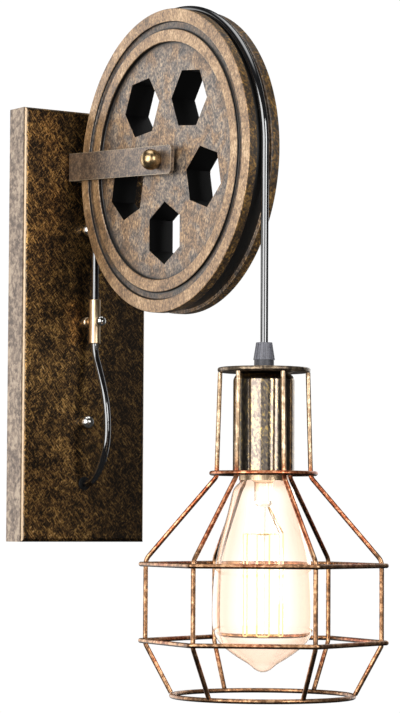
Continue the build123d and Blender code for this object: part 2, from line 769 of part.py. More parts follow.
def make_holder_body():
    """The lampholder's insulating insert and skirt."""
    outer_r = holder_d / 2
    bore_r = holder_bore_d / 2
    rivet_r = contact_rivet_d / 2 + thread_clear
    body = turned([
        (rivet_r, insert_top_z), (outer_r, insert_top_z), (outer_r, holder_bottom_z),
        (bore_r, holder_bottom_z), (bore_r, insert_bottom_z), (rivet_r, insert_bottom_z)])
    for side in (-1, 1):
        body -= Pos(side * terminal_pitch / 2, 0, insert_top_z) * Cylinder(
            terminal_shank_d / 2 + thread_clear, 2 * (terminal_shank_length + gap))
    return in_lamp(body)


def screw_profile(top_z, grow):
    """The wavy outline of a lamp screw as closed rings, from the top down, grown outwards by a clearance."""
    crest_r = screw_crest_d / 2 + grow
    root_r = screw_root_d / 2 + grow
    points = []
    for ring in range(screw_rings):
        ring_top = top_z - ring * screw_pitch
        points.append((root_r, ring_top))
        points.append((root_r, ring_top - screw_pitch * 0.25))
        points.append((crest_r, ring_top - screw_pitch * 0.5))
        points.append((crest_r, ring_top - screw_pitch * 0.75))
    points.append((root_r, top_z - screw_rings * screw_pitch))
    return points


def make_holder_shell():
    """The brass screw shell with its rolled rim below the skirt."""
    inside = screw_profile(screw_top_z, gap)
    outside = screw_profile(screw_top_z, gap + shell_wall)
    neck_r = screw_root_d / 2 + gap + shell_wall
    rim_r = holder_d / 2 - shell_rim_inset
    rim_inner_r = rim_r - 2 * shell_wall
    seat_z = holder_bottom_z - weld_gap
    rim = [
        (rim_inner_r, holder_bottom_z - shell_wall), (rim_inner_r, shell_bottom_z),
        (rim_r, shell_bottom_z), (rim_r, seat_z), (neck_r, seat_z)]
    return in_lamp(turned(inside + rim + outside[::-1]))


def make_holder_contact():
    """The centre contact: a rivet through the insert and a tongue under it."""
    rivet_r = contact_rivet_d / 2
    tongue_r = contact_tongue_d / 2
    tongue_z = insert_bottom_z - contact_tongue_thick
    return in_lamp(turned([
        (0, insert_top_z + gap), (rivet_r, insert_top_z + gap), (rivet_r, insert_bottom_z),
        (tongue_r, insert_bottom_z), (tongue_r, tongue_z), (0, tongue_z)]))


def make_holder_screws():
    """The two terminal screws on the insert."""
    head_r = terminal_head_d / 2
    shank_r = terminal_shank_d / 2
    screw = turned([
        (0, terminal_head_thick), (head_r, terminal_head_thick), (head_r, 0),
        (shank_r, 0), (shank_r, -terminal_shank_length), (0, -terminal_shank_length)])
    return [in_lamp(Pos(side * terminal_pitch / 2, 0, insert_top_z) * screw) for side in (-1, 1)]


def make_lamp_cord_tail():
    """The cord through the grip, with its two cores to the lampholder's screws."""
    end_z = nipple_bottom_z - tail_below_nipple
    tail = cylinder_between((0, 0, grip_top_z), (0, 0, end_z), cord_r)
    screw_top = insert_top_z + terminal_head_thick + gap
    for side in (-1, 1):
        start = (side * core_pitch / 2, 0, end_z + core_d)
        bend = (side * core_pitch / 2, 0, end_z - core_d)
        end = (side * terminal_pitch / 2, 0, screw_top + core_d / 2)
        tail += cylinder_between(start, bend, core_d / 2) + cylinder_between(bend, end, core_d / 2)
        tail += Pos(*bend) * Sphere(core_d / 2) + Pos(*end) * Sphere(core_d / 2)
    return in_lamp(tail)


def make_bulb_cap():
    """The bulb's screw cap, a thin shell with rolled rings."""
    outside = screw_profile(screw_top_z, 0)
    inside = screw_profile(screw_top_z, -cap_wall)
    lip_r = crown_r - cap_crown_lip
    crown = [(lip_r, cap_top_z), (crown_r, cap_top_z)]
    mouth = [(screw_root_d / 2, cap_mouth_z), (crown_r, cap_mouth_z)]
    under_crown = [(crown_r - cap_wall, cap_top_z - cap_wall), (lip_r, cap_top_z - cap_wall)]
    return in_lamp(turned(crown + outside + mouth + inside[::-1] + under_crown))


def make_bulb_insulator():
    """The black glass cone between the cap and the centre contact."""
    top_r = bulb_contact_d / 2 + insulator_top_lip
    bottom_r = crown_r - insulator_inset
    seat_z = cap_top_z + weld_gap
    return in_lamp(turned([(0, insulator_top_z), (top_r, insulator_top_z), (bottom_r, seat_z), (0, seat_z)]))


def make_bulb_contact():
    """The solder button on the cap's end."""
    button = Cylinder(bulb_contact_d / 2, bulb_contact_thick, align=standing)
    button = fillet(button.edges().sort_by(Axis.Z)[-1], bulb_contact_round)
    return in_lamp(Pos(0, 0, insulator_top_z + weld_gap) * button)


def bulb_side(wall):
    """The glass from the neck to the tip, each point moved inwards by a wall, square to its neighbours."""
    neck_r = crown_r - weld_gap
    rows = [(neck_r, cap_mouth_z)] + [(radius, cap_mouth_z - drop) for radius, drop in bulb_outline]
    tip_z = rows[-1][1]
    moved = [(neck_r - wall, cap_mouth_z)]
    for (before_r, before_z), (radius, z), (after_r, after_z) in zip(rows, rows[1:], rows[2:]):
        along = Vector(after_r - before_r, after_z - before_z).normalized()
        moved.append((radius + along.Y * wall, z - along.X * wall))
    moved.append((0.0, tip_z + wall))
    side = Spline(*moved, tangents=[(0.2, -0.98), (-1.0, 0.0)], tangent_scalars=[1.0, 1.0])
    return moved[0], moved[-1], side


def make_bulb_glass():
    """The clear glass envelope, open at the neck inside the cap."""
    outer_neck, outer_tip, outer_side = bulb_side(0)
    inner_neck, inner_tip, inner_side = bulb_side(glass_wall)
    top_z = cap_mouth_z + cap_skirt / 2
    rim = Polyline(inner_neck, (inner_neck[0], top_z), (outer_neck[0], top_z), outer_neck)
    tip = Line(outer_tip, inner_tip)
    outline = make_face([*outer_side.edges(), *tip.edges(), *inner_side.edges(), *rim.edges()])
    return in_lamp(revolve(Plane.XZ * outline, axis=Axis.Z))


def make_bulb_stem():
    """The glass mount: a flare sealed in the neck, a tube, and a rod down the middle."""
    flare_r = crown_r - glass_wall - 3 * weld_gap
    tube_r = stem_tube_d / 2
    rod_r = stem_rod_d / 2
    return in_lamp(turned([
        (0, cap_mouth_z), (flare_r, cap_mouth_z), (flare_r, cap_mouth_z - glass_wall),
        (tube_r, cap_mouth_z - stem_flare_height), (tube_r, stem_tube_end_z),
        (stem_pinch_d / 2, stem_pinch_z), (rod_r, stem_pinch_z - stem_rod_root),
        (rod_r, filament_bottom_z), (0, filament_bottom_z)]))


def filament_corner(index, z):
    """A corner of the filament's zigzag round the bulb's axis."""
    angle = math.radians(index * 360 / filament_count)
    return (filament_r * math.cos(angle), filament_r * math.sin(angle), z)


def make_filament():
    """One wire that runs up and down round the axis as a squirrel cage."""
    corners = []
    for index in range(filament_count):
        ends = (filament_top_z, filament_bottom_z)
        first, second = ends if index % 2 == 0 else ends[::-1]
        corners.append(filament_corner(index, first))
        corners.append(filament_corner(index, second))
    path = FilletPolyline(*corners, radius=filament_bend)
    wire = sweep(Plane(origin=path @ 0, z_dir=path % 0) * Circle(filament_wire_d / 2), path=path)
    return in_lamp(wire)


def make_supports():
    """Thin wires from the glass rod out to the filament's turns, above and below."""
    wires = []
    reach = filament_r * math.cos(math.radians(180 / filament_count))
    tip_r = reach - filament_wire_d / 2 - weld_gap
    root_r = stem_rod_d / 2 + weld_gap
    for index in range(filament_count - 1):
        angle = math.radians((index + 0.5) * 360 / filament_count)
        z = filament_bottom_z if index % 2 == 0 else filament_top_z
        rise = support_wire_d if index % 2 == 0 else -support_wire_d
        along = (math.cos(angle), math.sin(angle))
        start = (along[0] * root_r, along[1] * root_r, z + rise)
        end = (along[0] * tip_r, along[1] * tip_r, z)
        wires.append(in_lamp(cylinder_between(start, end, support_wire_d / 2)))
    return wires


def make_leads():
    """The two lead wires from the stem to the filament's ends."""
    wires = []
    for index in (0, filament_count - 1):
        x, y, _ = filament_corner(index, filament_top_z)
        share = lead_pitch / 2 / filament_r
        start = (x * share, y * share, stem_pinch_z - weld_gap - lead_wire_d / 2)
        end = (x, y, filament_top_z + weld_gap + lead_wire_d / 2)
        wires.append(in_lamp(cylinder_between(start, end, lead_wire_d / 2)))
    return wires


pieces = {
    "backplate": make_backplate(),
    "wall_crossbar": make_crossbar(),
    "crossbar_studs": make_studs(),
    "stud_locknuts": make_stud_locknuts(),
    "plate_ball_nuts": make_plate_ball_nuts(),
    "earth_screw": make_earth_screw(),
    "yoke": make_yoke(),
    "yoke_screws": make_yoke_screws(),
    "yoke_nuts": make_yoke_nuts(),
    "axle": make_axle(),
    "axle_ball_nuts": make_axle_ball_nuts(),
    "axle_spacers": make_axle_spacers(),
    "clamp_post": make_clamp_post(),
    "clamp_post_nut": make_clamp_post_nut(),
    "clamp_tube": make_clamp_tube(),
    "clamp_screw": make_clamp_screw(),
    "cord_entry_bush": make_entry_bush(),
    "cord_anchor": make_cord_anchor(),
    "terminal_block": make_terminal_block(),
    "terminal_screws": make_terminal_screws(),
    "cord_tail": make_cord_tail(),
    "cord_slack": cord_tube("cord_slack", slack_route()),
    "cord_rise": make_cord_rise(),
    "cord_over_wheel": make_cord_over_wheel(),
    "cord_swivel": domed_cord(side_pivot_z, fore_pivot_z + cord_r + gap),
    "cord_drop": domed_cord(fore_pivot_z, grip_top_z + gap),
    "pulley_wheel": make_wheel(),
    "wheel_bush": make_wheel_bush(),
    "cord_grip_nut": make_grip_nut(),
    "cord_grip_collet": make_grip_collet(),
    "cord_grip_body": make_grip_body(),
    "nipple_nut": make_nipple_nut(),
    "cage_top_disc": make_top_disc(),
    "cage_neck_ring": make_round_ring(rib_neck_r + wire_d + weld_gap, neck_drop),
    "cage_upper_belt": make_belt(upper_belt_drop),
    "cage_lower_belt": make_belt(lower_belt_drop),
    "cage_bottom_ring": make_round_ring(bottom_ring_r, bottom_ring_drop),
    "socket_cup": make_socket_cup(),
    "lampholder_cap": make_holder_cap(),
    "lampholder_body": make_holder_body(),
    "lampholder_shell": make_holder_shell(),
    "lampholder_contact": make_holder_contact(),
    "lampholder_screws": make_holder_screws(),
    "lamp_cord_tail": make_lamp_cord_tail(),
    "bulb_glass": make_bulb_glass(),
    "bulb_cap": make_bulb_cap(),
    "bulb_insulator": make_bulb_insulator(),
    "bulb_contact": make_bulb_contact(),
    "bulb_stem": make_bulb_stem(),
    "bulb_leads": make_leads(),
    "bulb_supports": make_supports(),
    "bulb_filament": make_filament(),
}
for index in range(rib_count):
    pieces[f"cage_rib_{index + 1}"] = make_rib(rib_first_angle + index * 360 / rib_count)

os.makedirs("parts", exist_ok=True)
for node, piece in pieces.items():
    members = piece if isinstance(piece, list) else [piece]
    solids = [solid for member in members for solid in member.solids()]
    export_step(Compound(children=solids), f"parts/{node}.step")
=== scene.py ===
import json
import math

import bmesh
import bpy
import numpy as np
from mathutils import Matrix, Vector


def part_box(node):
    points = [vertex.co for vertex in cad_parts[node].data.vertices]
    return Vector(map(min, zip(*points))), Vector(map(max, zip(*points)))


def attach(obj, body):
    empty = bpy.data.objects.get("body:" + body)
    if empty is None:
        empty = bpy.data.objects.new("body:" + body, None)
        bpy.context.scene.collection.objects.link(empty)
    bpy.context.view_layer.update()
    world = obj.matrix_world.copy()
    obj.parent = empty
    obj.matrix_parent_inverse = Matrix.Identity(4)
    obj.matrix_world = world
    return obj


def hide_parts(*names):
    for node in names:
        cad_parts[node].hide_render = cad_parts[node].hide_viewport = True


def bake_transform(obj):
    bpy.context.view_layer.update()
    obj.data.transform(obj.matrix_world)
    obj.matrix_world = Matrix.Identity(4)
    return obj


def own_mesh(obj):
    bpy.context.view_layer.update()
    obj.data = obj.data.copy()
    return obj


# Industrial wall light: a caged lamp hangs on a cord over a pulley wheel. Metres, in the frame of the solids.
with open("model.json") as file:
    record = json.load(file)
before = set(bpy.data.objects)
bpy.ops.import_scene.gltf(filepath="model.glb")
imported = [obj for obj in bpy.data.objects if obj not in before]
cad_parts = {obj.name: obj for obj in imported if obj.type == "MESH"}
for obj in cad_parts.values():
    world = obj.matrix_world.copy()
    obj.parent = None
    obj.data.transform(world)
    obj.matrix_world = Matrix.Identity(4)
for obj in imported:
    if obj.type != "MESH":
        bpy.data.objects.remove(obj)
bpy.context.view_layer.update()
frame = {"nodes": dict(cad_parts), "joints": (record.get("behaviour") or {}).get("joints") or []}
nodes = frame["nodes"]
joints = {joint["name"]: joint for joint in frame["joints"]}

MM = 0.001

# The viewpoint: place in metres, angles in degrees, focal length in pixels of the long side
CAMERA_PLACE = (-1.02133, -1.66864, -0.13436)
CAMERA_YAW = -34.16
CAMERA_PITCH = 3.36
CAMERA_ROLL = 0.33
FOCAL_PIXELS = 2784.04
LONG_SIDE_PIXELS = 713
SENSOR_MM = 36.0

# Studio: what the lights aim at, a floor a room's height below it, and the middle of the white backdrop
STUDIO_AIM = (0.0, -0.15, 0.0)
FLOOR_DROP = 2.2
FLOOR_RADIUS = 6.0
FLOOR_SIDES = 96
BACKDROP_SIDE = (-0.26, 0.97, 0.0)
# Where the backdrop and the light overhead start and are full: cosines of the angle from their middles
BACKDROP_EDGE = 0.766
BACKDROP_FULL = 0.966
OVERHEAD_EDGE = 0.82
OVERHEAD_FULL = 0.98
# Strengths of the white surroundings: the room, the backdrop, overhead, through glass, and to the eye
ROOM_LEVEL = 0.06
BACKDROP_LEVEL = 2.2
OVERHEAD_LEVEL = 2.6
GLASS_LEVEL = 1.12
SEEN_LEVEL = 1.02


def middle(node):
    """The middle of a solid's box at rest."""
    low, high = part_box(node)
    return (low + high) / 2


# Places read from the solids and the joints
plate_low, plate_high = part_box("backplate")
plate_front_y = plate_low.y
wheel_low, wheel_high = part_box("pulley_wheel")
wheel_r = (wheel_high.z - wheel_low.z) / 2
axle_place = middle("axle")
cord_rear_y = middle("cord_rise").y
cord_wheel_r = cord_rear_y - axle_place.y
clamp_bottom_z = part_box("clamp_tube")[0].z
lamp_axis = middle("cage_bottom_ring")
lamp_x = lamp_axis.x
lamp_y = lamp_axis.y
grip_top_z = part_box("cord_grip_nut")[1].z
disc_low_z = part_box("cage_top_disc")[0].z
cage_neck_z = middle("cage_neck_ring").z
cap_mouth_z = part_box("bulb_cap")[0].z
bulb_tip_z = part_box("bulb_glass")[0].z
side_pivot_z = joints["swing_side"]["pos_m"][2]
fore_pivot_z = joints["swing_fore"]["pos_m"][2]

# Plate: painted shade darkens its front towards the right, between these two places and up to this share
shade_from_x = 0.4 * plate_low.x
shade_full_x = 0.7 * plate_high.x
SHADE_SHARE = 0.72

# Wheel: distances from its middle plane where the rings give way to the web, and the tread to the groove
RINGS_END = 11.6 * MM
WEB_STARTS = 10.9 * MM
TREAD_ENDS = 6.4 * MM
GROOVE_STARTS = 5.4 * MM
# Distances from the axle at which the walls of the windows end and the tread starts
WALLS_END = 94.0 * MM
TREAD_STARTS = 97.0 * MM
# Painted shade in the corners beside the rings: how much of the paint's tone is left, by share of the wheel's
# radius
RING_SHADE = [
    (0.690, "#ffffff"), (0.752, "#d6d3d1"), (0.770, "#aba8a6"), (0.776, "#3f3c3a"), (0.782, "#3f3c3a"),
    (0.786, "#ffffff"), (0.860, "#ffffff"), (0.865, "#2b2826"), (0.873, "#35322f"), (0.880, "#aaa6a2"),
    (0.906, "#b6b2ae"), (0.911, "#4c4846"), (0.914, "#4c4846"), (0.918, "#ffffff")]

# Cage: where each zone of its finish starts and is full, by distance from the lamp's axis or by height; the
# warm zones hold painted glow of the bulb, the pale zone a painted highlight
bulb_glow_within = (72.0 * MM, 66.0 * MM)
bulb_glow_below = (cage_neck_z + 6.0 * MM, cage_neck_z)
bulb_glow_above = (bulb_tip_z - 4.0 * MM, bulb_tip_z + 12.0 * MM)
highlight_above = (cage_neck_z + 4.0 * MM, cage_neck_z + 16.0 * MM)
dull_above = (disc_low_z - 0.4 * MM, disc_low_z - 0.1 * MM)

# Cord: its size, the length of its slack loop, and how finely it is drawn
CORD_D = 5.0 * MM
CORD_R = CORD_D / 2
CORE_R = 1.0 * MM
CORD_SIDES = 24
CORD_STEPS = 12
# Routes of the solids in millimetres: the slack loop by distance from the plate and height, and the tail
SLACK_ROUTE = [
    (12.2, -12.8), (12.2, -18.8), (18.4, -31.2), (26.0, -48.5), (29.7, -65.5), (29.2, -82.0), (23.4, -95.4),
    (15.6, -104.4), (8.2, -109.5), (1.5, -109.5)]
TAIL_ROUTE = [(0.0, -22.5, -109.5), (0.0, -10.0, -109.5), (24.0, -10.0, -97.0), (24.0, -10.0, -70.0)]
# Over the wheel: the angle between the route's corners, and straight runs below the axle, rear and front
WHEEL_STEP = math.radians(15)
RISE_RUN = 6 * CORD_D
DROP_RUN = 2 * CORD_D
# Sideways directions, along which no stretch of the cord, of its tail or of its cores runs
ACROSS = (1.0, 0.0, 0.0)
TAIL_SIDE = (0.3, 0.9, -0.3)
CORE_SIDE = (0.0, 1.0, 0.0)
# At the lamp: how far a bend reaches from its pivot and the sheath goes below the grip, a gap that parts two
# ends that meet, and how far the cores and their screws stand off the lamp's axis
BEND_REACH = 6.0 * MM
SHEATH_BELOW_GRIP = 3.0 * MM
JOIN_GAP = 0.05 * MM
CORE_OFF = 1.2 * MM
SCREW_OFF = 9.0 * MM

# Bulb: its glass wall, how finely it is drawn, and the slope of its outline at the cap and at the tip
GLASS_WALL = 0.6 * MM
GLASS_STEPS = 120
GLASS_SIDES = 96
MOUNT_SIDES = 64
NECK_SLOPE = (0.2, -0.98)
TIP_SLOPE = (-1.0, 0.0)
# The glass from the cap down, as (radius, distance below the cap's mouth) in millimetres
BULB_OUTLINE = [
    (11.97, 0.0), (12.6, 2.2), (15.2, 4.8), (18.2, 7.6), (20.2, 13.0), (21.7, 20.0), (23.7, 28.0),
    (27.6, 43.0), (30.4, 57.0), (31.8, 74.0), (32.2, 89.0), (31.3, 97.5), (27.6, 105.0), (22.0, 110.2),
    (12.2, 116.8), (8.4, 119.2), (5.6, 121.6), (0.0, 123.8)]
# The glass mount in the neck, from the rod's end up its outside and down into the tube, in the same way
MOUNT_OUTLINE = [
    (0.0, 101.0), (1.3, 101.0), (1.3, 20.0), (4.2, 19.5), (6.0, 18.0), (6.0, 5.0), (10.9, 1.0), (10.9, 0.0),
    (10.2, 0.0), (10.2, 0.7), (5.2, 4.8), (5.2, 16.0), (0.0, 17.0)]


# Meshes worked out as arrays
SHARP_TURN = math.radians(50)
SAME_PLACE = 1e-7


def mesh_piece(name, grid, wrap_along=False, cap_ends=False):
    """A surface from a grid of points: rows run along it, columns run round it, and quads join neighbours."""
    rows, columns = grid.shape[:2]
    index = np.arange(rows * columns).reshape(rows, columns)
    next_row = np.roll(index, -1, axis=0)
    next_column = np.roll(index, -1, axis=1)
    corner = np.roll(next_row, -1, axis=1)
    quads = np.stack([index, next_column, corner, next_row], axis=-1)
    if not wrap_along:
        quads = quads[:-1]
    faces = quads.reshape(-1, 4).tolist()
    if cap_ends:
        faces.append(index[0, ::-1].tolist())
        faces.append(index[-1].tolist())
    mesh = bpy.data.meshes.new(name)
    mesh.from_pydata(grid.reshape(-1, 3).tolist(), [], faces)
    tidy = bmesh.new()
    tidy.from_mesh(mesh)
    bmesh.ops.remove_doubles(tidy, verts=tidy.verts, dist=SAME_PLACE)
    bmesh.ops.recalc_face_normals(tidy, faces=tidy.faces)
    tidy.to_mesh(mesh)
    tidy.free()
    mesh.shade_smooth()
    mesh.set_sharp_from_angle(angle=SHARP_TURN)
    piece = bpy.data.objects.new(name, mesh)
    bpy.context.scene.collection.objects.link(piece)
    return piece


def tube_grid(points, side, radius):
    """A circle carried square along a path: at each point, radius times (cos t side + sin t across)."""
    along = np.gradient(points, axis=0)
    along /= np.linalg.norm(along, axis=1, keepdims=True)
    across = np.cross(along, np.broadcast_to(side, points.shape))
    across /= np.linalg.norm(across, axis=1, keepdims=True)
    square = np.cross(across, along)
    turn = np.linspace(0, 2 * math.pi, CORD_SIDES, endpoint=False)[None, :, None]
    ring = np.cos(turn) * square[:, None, :] + np.sin(turn) * across[:, None, :]
    return points[:, None, :] + radius * ring


def turned_grid(profile, sides):
    """A profile of (radius, height) rows turned about the lamp's axis: (r cos t, r sin t, z)."""
    turn = np.linspace(0, 2 * math.pi, sides, endpoint=False)
    x = lamp_x + profile[:, 0, None] * np.cos(turn)
    y = lamp_y + profile[:, 0, None] * np.sin(turn)
    z = np.broadcast_to(profile[:, 1, None], x.shape)
    return np.stack([x, y, z], axis=-1)


def smooth_line(points, steps, first_slope, last_slope):
    """A cubic spline through points at the lengths of their chords, with given slopes at its two ends.

    The slopes between come from equal bending on both sides of each point, which is one row of the system.
    """
    chord = np.linalg.norm(np.diff(points, axis=0), axis=1)
    at = np.concatenate([[0], np.cumsum(chord)])
    count = len(points)
    system = np.zeros((count, count))
    right = np.zeros((count, 2))
    system[0, 0] = system[-1, -1] = 1
    right[0] = first_slope
    right[-1] = last_slope
    inner = np.arange(1, count - 1)
    before, after = chord[:-1], chord[1:]
    system[inner, inner - 1] = after
    system[inner, inner] = 2 * (before + after)
    system[inner, inner + 1] = before
    rise_before = (points[1:-1] - points[:-2]) / before[:, None]
    rise_after = (points[2:] - points[1:-1]) / after[:, None]
    right[1:-1] = 3 * (after[:, None] * rise_before + before[:, None] * rise_after)
    slopes = np.linalg.solve(system, right)
    wanted = np.linspace(0, at[-1], steps)
    span = np.clip(np.searchsorted(at, wanted, side="right") - 1, 0, count - 2)
    length = chord[span][:, None]
    t = ((wanted - at[span]) / chord[span])[:, None]
    return (points[span] * (1 + 2 * t) * (1 - t) ** 2 + slopes[span] * length * t * (1 - t) ** 2
            + points[span + 1] * t ** 2 * (3 - 2 * t) + slopes[span + 1] * length * t ** 2 * (t - 1))


def cord_line(route):
    """Points along the smooth line of a cord: a quadratic NURBS whose control points are the cord's route."""
    curve = bpy.data.curves.new("cord_line", "CURVE")
    curve.dimensions = "3D"
    spline = curve.splines.new("NURBS")
    spline.points.add(len(route) - 1)
    weighted = np.column_stack([np.asarray(route, float), np.ones(len(route))])
    spline.points.foreach_set("co", weighted.ravel())
    spline.order_u = 3
    spline.use_endpoint_u = True
    spline.resolution_u = CORD_STEPS
    holder = bpy.data.objects.new("cord_line", curve)
    line = bpy.data.meshes.new_from_object(holder)
    points = np.zeros(len(line.vertices) * 3)
    line.vertices.foreach_get("co", points)
    bpy.data.objects.remove(holder)
    bpy.data.curves.remove(curve)
    bpy.data.meshes.remove(line)
    return points.reshape(-1, 3)


# Materials: a Mix node of colours has its factor at socket 0, its two colours at 6 and 7 and its result at 2,
# and one of numbers has its factor at 0, its two numbers at 2 and 3 and its result at 0
SMOOTH = {"interpolation_type": "SMOOTHSTEP"}
COLOURS = {"data_type": "RGBA"}
# Where a dark, a middling and a light tone stand on a grain between 0 and 1, and a dark and a light one alone
THREE_STEPS = (0.34, 0.50, 0.66)
TWO_STEPS = (0.35, 0.65)
# Roughness of bare places, off the paint
MATT = 0.95


def linear(hex_colour):
    """An sRGB hex colour as linear red, green, blue and full alpha."""
    values = np.array([int(hex_colour[i:i + 2], 16) for i in (1, 3, 5)]) / 255
    low = values / 12.92
    high = ((values + 0.055) / 1.055) ** 2.4
    return (*np.where(values <= 0.04045, low, high), 1.0)


def add(tree, kind, links=None, **settings):
    """Adds one node: links give inputs a socket or a value, settings are its fields or a ramp's stops."""
    made = tree.nodes.new(kind)
    for key, value in settings.items():
        if key == "stops":
            ramp = made.color_ramp.elements
            while len(ramp) < len(value):
                ramp.new(1.0)
            for element, (position, colour) in zip(ramp, value):
                element.position = position
                element.color = linear(colour)
        else:
            setattr(made, key, value)
    for key, value in (links or {}).items():
        if isinstance(value, bpy.types.NodeSocket):
            tree.links.new(value, made.inputs[key])
        else:
            made.inputs[key].default_value = value
    return made


def finish_of(name, values):
    """A new material with one Principled shader, whose plain numbers are set on its own sockets."""
    material = bpy.data.materials.new(name)
    material.use_nodes = True
    tree = material.node_tree
    tree.nodes.clear()
    shader = add(tree, "ShaderNodeBsdfPrincipled", values)
    add(tree, "ShaderNodeOutputMaterial", {"Surface": shader.outputs["BSDF"]})
    return material, tree, shader


# Real grit, brush marks and mould grain are a few tenths of a millimetre or finer. One pixel of the picture
# is about 0.7 mm, so they are drawn as coarse as they need to show, at 0.6 mm or more.
def grain(tree, place, across_mm, along_mm, slant=0.0, detail=2.0):
    """Noise between 0 and 1 in grains of a given width and length, upright or leant by degrees about Y."""
    leant = add(tree, "ShaderNodeMapping", {"Vector": place, "Rotation": (0.0, math.radians(slant), 0.0)})
    across = 1 / (across_mm * MM)
    along = 1 / (along_mm * MM)
    sized = add(tree, "ShaderNodeMapping", {
        "Vector": leant.outputs["Vector"], "Scale": (across, across, along)})
    noise = add(tree, "ShaderNodeTexNoise", {
        "Vector": sized.outputs["Vector"], "Scale": 1.0, "Detail": detail, "Roughness": 0.55,
        "Distortion": 0.5})
    return noise.outputs["Fac"]


def clouded(tree, value, cloud, share):
    """A value pushed up and down by a cloud between 0 and 1: value + share (cloud - 1/2)."""
    level = add(tree, "ShaderNodeMath", {0: cloud, 1: 0.5}, operation="SUBTRACT").outputs["Value"]
    pushed = add(tree, "ShaderNodeMath", {0: level, 1: share, 2: value}, operation="MULTIPLY_ADD")
    return pushed.outputs["Value"]


def layered(tree, ground, *layers):
    """Colours laid over a ground one after another, each through its own mask."""
    for mask, colour in layers:
        ground = add(tree, "ShaderNodeMix", {0: mask, 6: ground, 7: colour}, **COLOURS).outputs[2]
    return ground


def distance_from(tree, place, centre, axes):
    """How far places lie from a centre along some of the axes: the length of (place - centre) times axes."""
    apart = add(tree, "ShaderNodeVectorMath", {0: place, 1: centre}, operation="SUBTRACT").outputs["Vector"]
    kept = add(tree, "ShaderNodeVectorMath", {0: apart, 1: axes}, operation="MULTIPLY").outputs["Vector"]
    return add(tree, "ShaderNodeVectorMath", {0: kept}, operation="LENGTH").outputs["Value"]


def rubbed_edges(tree, width_mm):
    """A mask of sharp edges, where handling wears a finish: how far a rounded normal leaves the true one."""
    rounded = add(tree, "ShaderNodeBevel", {"Radius": width_mm * MM}, samples=6).outputs["Normal"]
    unrounded = add(tree, "ShaderNodeNewGeometry").outputs["Normal"]
    agree = add(tree, "ShaderNodeVectorMath", {0: rounded, 1: unrounded}, operation="DOT_PRODUCT")
    rubbed = add(tree, "ShaderNodeMapRange", {
        "Value": agree.outputs["Value"], "From Min": 0.97, "From Max": 0.80}, **SMOOTH)
    return rubbed.outputs["Result"]


def relief(tree, shader, height, depth_mm, roughness, painted=None):
    """Bump from a height between 0 and 1, with a roughness that follows it, and matt off the paint."""
    bump = add(tree, "ShaderNodeBump", {"Height": height, "Distance": depth_mm * MM, "Strength": 0.5})
    tree.links.new(bump.outputs["Normal"], shader.inputs["Normal"])
    low, high = roughness
    rough = add(tree, "ShaderNodeMapRange", {
        "Value": height, "To Min": low, "To Max": high}).outputs["Result"]
    if painted is not None:
        rough = add(tree, "ShaderNodeMix", {0: painted, 2: MATT, 3: rough}).outputs[0]
    tree.links.new(rough, shader.inputs["Roughness"])


def plate_strokes(tree, place):
    """A height of short strokes leaning both ways, the higher of the two in each place, under clouds."""
    left = grain(tree, place, across_mm=0.9, along_mm=4.6, slant=38, detail=3.0)
    right = grain(tree, place, across_mm=0.9, along_mm=2.4, slant=-40, detail=3.0)
    strokes = add(tree, "ShaderNodeMath", {0: left, 1: right}, operation="MAXIMUM").outputs["Value"]
    strokes = clouded(tree, strokes, grain(tree, place, across_mm=0.9, along_mm=0.9), share=0.20)
    return clouded(tree, strokes, grain(tree, place, across_mm=9.0, along_mm=13.0, detail=3.0), share=0.32)


def plate_lacquer():
    """Antique bronze lacquer brushed on steel: short crossing strokes of gold and ochre over dark brown.

    The folded sides are painted a lighter, greyer mottled brown as a painted sheen, and the bend between them
    and the front is painted pale, as rubbed wear with a painted highlight.
    """
    material, tree, shader = finish_of("antique_bronze_lacquer", {
        "Metallic": 0.95, "Coat Weight": 0.22, "Coat Roughness": 0.4})
    coords = add(tree, "ShaderNodeTexCoord")
    place = coords.outputs["Object"]
    normal = add(tree, "ShaderNodeSeparateXYZ", {0: coords.outputs["Normal"]})
    strokes = plate_strokes(tree, place)
    front = add(tree, "ShaderNodeValToRGB", {"Fac": strokes}, stops=[
        (0.45, "#140e08"), (0.55, "#4d3a22"), (0.63, "#926c3c"), (0.72, "#d4a75e"), (0.84, "#f2d69c")])
    mottle = grain(tree, place, across_mm=3.0, along_mm=3.0, detail=4.0)
    mottle = clouded(tree, mottle, grain(tree, place, across_mm=9.0, along_mm=22.0), share=0.6)
    # Painted sheen: the sides are lighter and greyer than the front
    sides = add(tree, "ShaderNodeValToRGB", {"Fac": mottle}, stops=list(zip(
        THREE_STEPS, ("#5b4e45", "#857465", "#ac9a86"))))
    sideways = add(tree, "ShaderNodeMath", {0: normal.outputs["X"]}, operation="ABSOLUTE").outputs["Value"]
    side_sheen = add(tree, "ShaderNodeMapRange", {
        "Value": sideways, "From Min": 0.5, "From Max": 0.95}, **SMOOTH)
    across = add(tree, "ShaderNodeSeparateXYZ", {0: place}).outputs["X"]
    # Painted shade: the front darkens towards the right
    dull_tone_and_shade = add(tree, "ShaderNodeMapRange", {
        "Value": across, "From Min": shade_from_x, "From Max": shade_full_x, "To Max": SHADE_SHARE}, **SMOOTH)
    # Rubbed wear with a painted highlight: a pale band along the bend
    slope = add(tree, "ShaderNodeMath", {0: sideways, 1: normal.outputs["Y"]}, operation="MULTIPLY")
    slope = clouded(tree, slope.outputs["Value"], grain(tree, place, across_mm=1.2, along_mm=3.0), share=0.6)
    bend_wear_and_highlight = add(tree, "ShaderNodeMapRange", {
        "Value": slope, "From Min": -0.28, "From Max": -0.46}, **SMOOTH)
    colour = layered(
        tree, front.outputs["Color"], (dull_tone_and_shade.outputs["Result"], linear("#120b05")),
        (side_sheen.outputs["Result"], sides.outputs["Color"]), (bend_wear_and_highlight.outputs["Result"], linear("#a08b72")))
    tree.links.new(colour, shader.inputs["Base Color"])
    relief(tree, shader, strokes, depth_mm=0.08, roughness=(0.48, 0.36))
    return material


